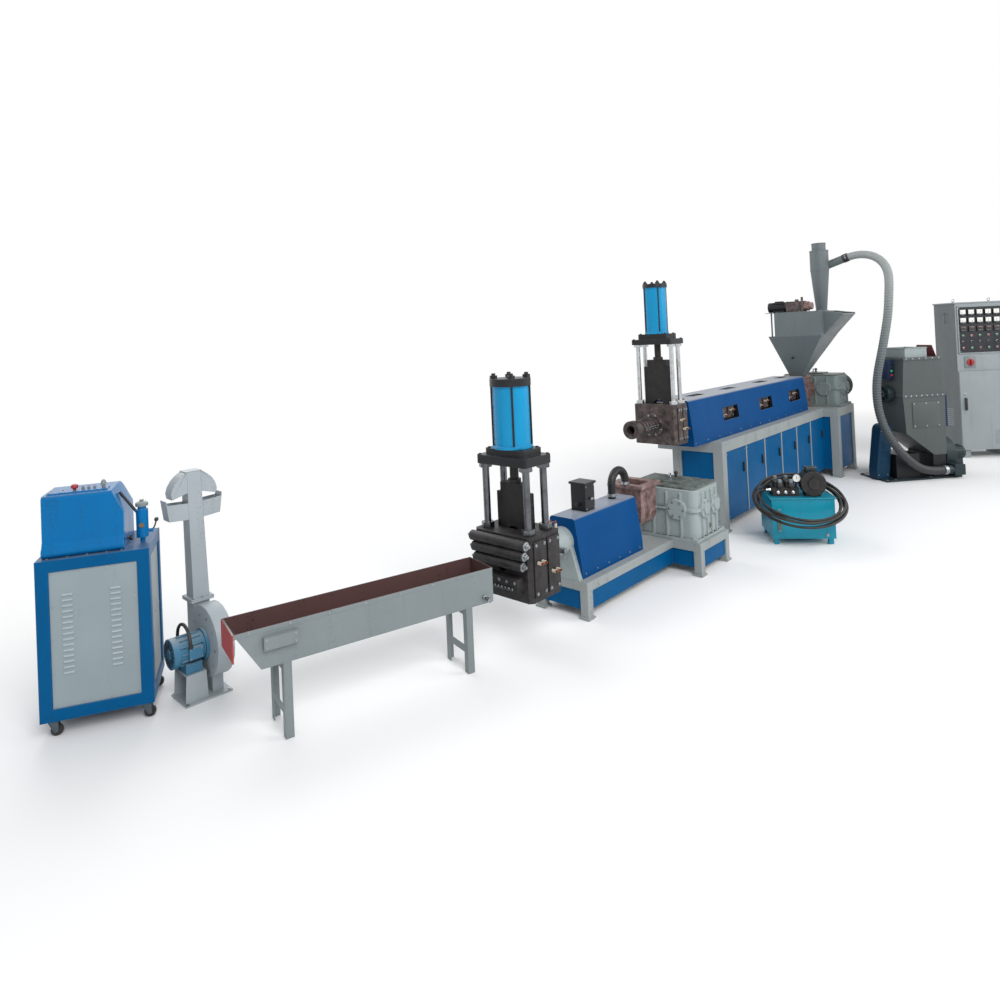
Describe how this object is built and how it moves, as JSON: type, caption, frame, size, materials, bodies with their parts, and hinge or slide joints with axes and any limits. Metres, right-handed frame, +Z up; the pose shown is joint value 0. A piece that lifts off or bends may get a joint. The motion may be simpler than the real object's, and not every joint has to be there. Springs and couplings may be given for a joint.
{
  "type": "two-stage plastic recycling and pelletising line",
  "caption": "Plastic recycling line: crusher, hopper-fed main extruder, second extruder with hydraulic screen changers, water trough, blower, strand pelletizer and control cabinet.",
  "frame": {"origin": "on the floor, under the centre of the second extruder's front left foot", "axes": "+X along the line from the pelletizer to the crusher, +Y to the back, +Z up"},
  "size_m": [10.4956, 3.2433, 2.806],
  "materials": {
    "machine_blue": "gloss",
    "bright_blue": "gloss",
    "machine_grey": "satin",
    "pale_grey": "satin",
    "dark_iron": "rough",
    "black_plate": "satin",
    "steel": "polished",
    "teal": "gloss",
    "dark_green": "satin",
    "black_rubber": "matte",
    "hose_grey": "matte",
    "brown_iron": "rough",
    "instrument_black": "matte"
  },
  "bodies": {
    "line": {"pelletizer_frame": "machine_blue", "pelletizer_panels": "machine_grey", "pelletizer_hood": "bright_blue", "pelletizer_oil_cup": "bright_blue", "blower_base": "machine_grey", "blower_volute": "machine_grey", "blower_motor": "bright_blue", "blower_duct": "machine_grey", "pellet_outlet_head": "machine_grey", "water_trough": "machine_grey", "trough_legs": "machine_grey", "second_frame": "pale_grey", "second_panels": "machine_blue", "second_barrel": "pale_grey", "second_barrel_cover": "machine_blue", "second_gearbox": "pale_grey", "second_feed_throat": "brown_iron", "second_terminal_box": "black_plate", "second_die_block": "dark_iron", "second_tie_rods": "steel", "second_crown_plates": "black_plate", "second_cylinder": "bright_blue", "main_frame": "pale_grey", "main_panels": "machine_blue", "main_barrel": "dark_iron", "main_barrel_cover": "machine_blue", "main_die_block": "brown_iron", "main_tie_rods": "steel", "main_crown_plates": "black_plate", "main_cylinder": "bright_blue", "main_gearbox": "pale_grey", "main_pulley": "dark_green", "main_hopper": "machine_grey", "hopper_feeder_drive": "black_plate", "cyclone": "machine_grey", "hydraulic_tank": "teal", "hydraulic_pump_set": "dark_iron", "hydraulic_hose": "black_rubber", "crusher_base": "dark_green", "crusher_body": "machine_grey", "crusher_hopper": "pale_grey", "crusher_belt_guard": "machine_blue", "crusher_flywheel": "dark_green", "conveying_fan": "dark_green", "conveying_hose": "hose_grey", "cabinet_body": "pale_grey", "cabinet_instrument_panel": "instrument_black"},
    "second_slide": {"second_screen_slide": "dark_iron"},
    "main_slide": {"main_screen_slide": "dark_iron"},
    "door": {"cabinet_door": "pale_grey"},
    "fork_1": {"caster_fork_1": "steel"},
    "wheel_1": {"caster_wheel_1": "black_rubber"},
    "fork_2": {"caster_fork_2": "steel"},
    "wheel_2": {"caster_wheel_2": "black_rubber"},
    "fork_3": {"caster_fork_3": "steel"},
    "wheel_3": {"caster_wheel_3": "black_rubber"},
    "fork_4": {"caster_fork_4": "steel"},
    "wheel_4": {"caster_wheel_4": "black_rubber"}
  },
  "joints": [
    {"name": "second_screen_change", "type": "slide", "parent": "line", "child": "second_slide", "axis": [0, 0, -1], "range_m": [0, 0.15]},
    {"name": "main_screen_change", "type": "slide", "parent": "line", "child": "main_slide", "axis": [0, 0, -1], "range_m": [0, 0.15]},
    {"name": "cabinet_door_hinge", "type": "hinge", "parent": "line", "child": "door", "pos_m": [7.40489, -1.58353, 0.6], "axis": [0, 0, 1], "range_deg": [0, 110]},
    {"name": "caster_swivel_1", "type": "hinge", "parent": "line", "child": "fork_1", "pos_m": [-2.66314, 1.29861, 0.06], "axis": [0, 0, 1], "continuous": true},
    {"name": "caster_roll_1", "type": "hinge", "parent": "fork_1", "child": "wheel_1", "pos_m": [-2.64725, 1.29016, 0.0275], "axis": [0.4695, 0.8829, 0], "continuous": true},
    {"name": "caster_swivel_2", "type": "hinge", "parent": "line", "child": "fork_2", "pos_m": [-2.30113, 1.10612, 0.06], "axis": [0, 0, 1], "continuous": true},
    {"name": "caster_roll_2", "type": "hinge", "parent": "fork_2", "child": "wheel_2", "pos_m": [-2.28524, 1.09767, 0.0275], "axis": [0.4695, 0.8829, 0], "continuous": true},
    {"name": "caster_swivel_3", "type": "hinge", "parent": "line", "child": "fork_3", "pos_m": [-2.50822, 1.58998, 0.06], "axis": [0, 0, 1], "continuous": true},
    {"name": "caster_roll_3", "type": "hinge", "parent": "fork_3", "child": "wheel_3", "pos_m": [-2.49232, 1.58153, 0.0275], "axis": [0.4695, 0.8829, 0], "continuous": true},
    {"name": "caster_swivel_4", "type": "hinge", "parent": "line", "child": "fork_4", "pos_m": [-2.14621, 1.3975, 0.06], "axis": [0, 0, 1], "continuous": true},
    {"name": "caster_roll_4", "type": "hinge", "parent": "fork_4", "child": "wheel_4", "pos_m": [-2.13031, 1.38905, 0.0275], "axis": [0.4695, 0.8829, 0], "continuous": true}
  ]
}
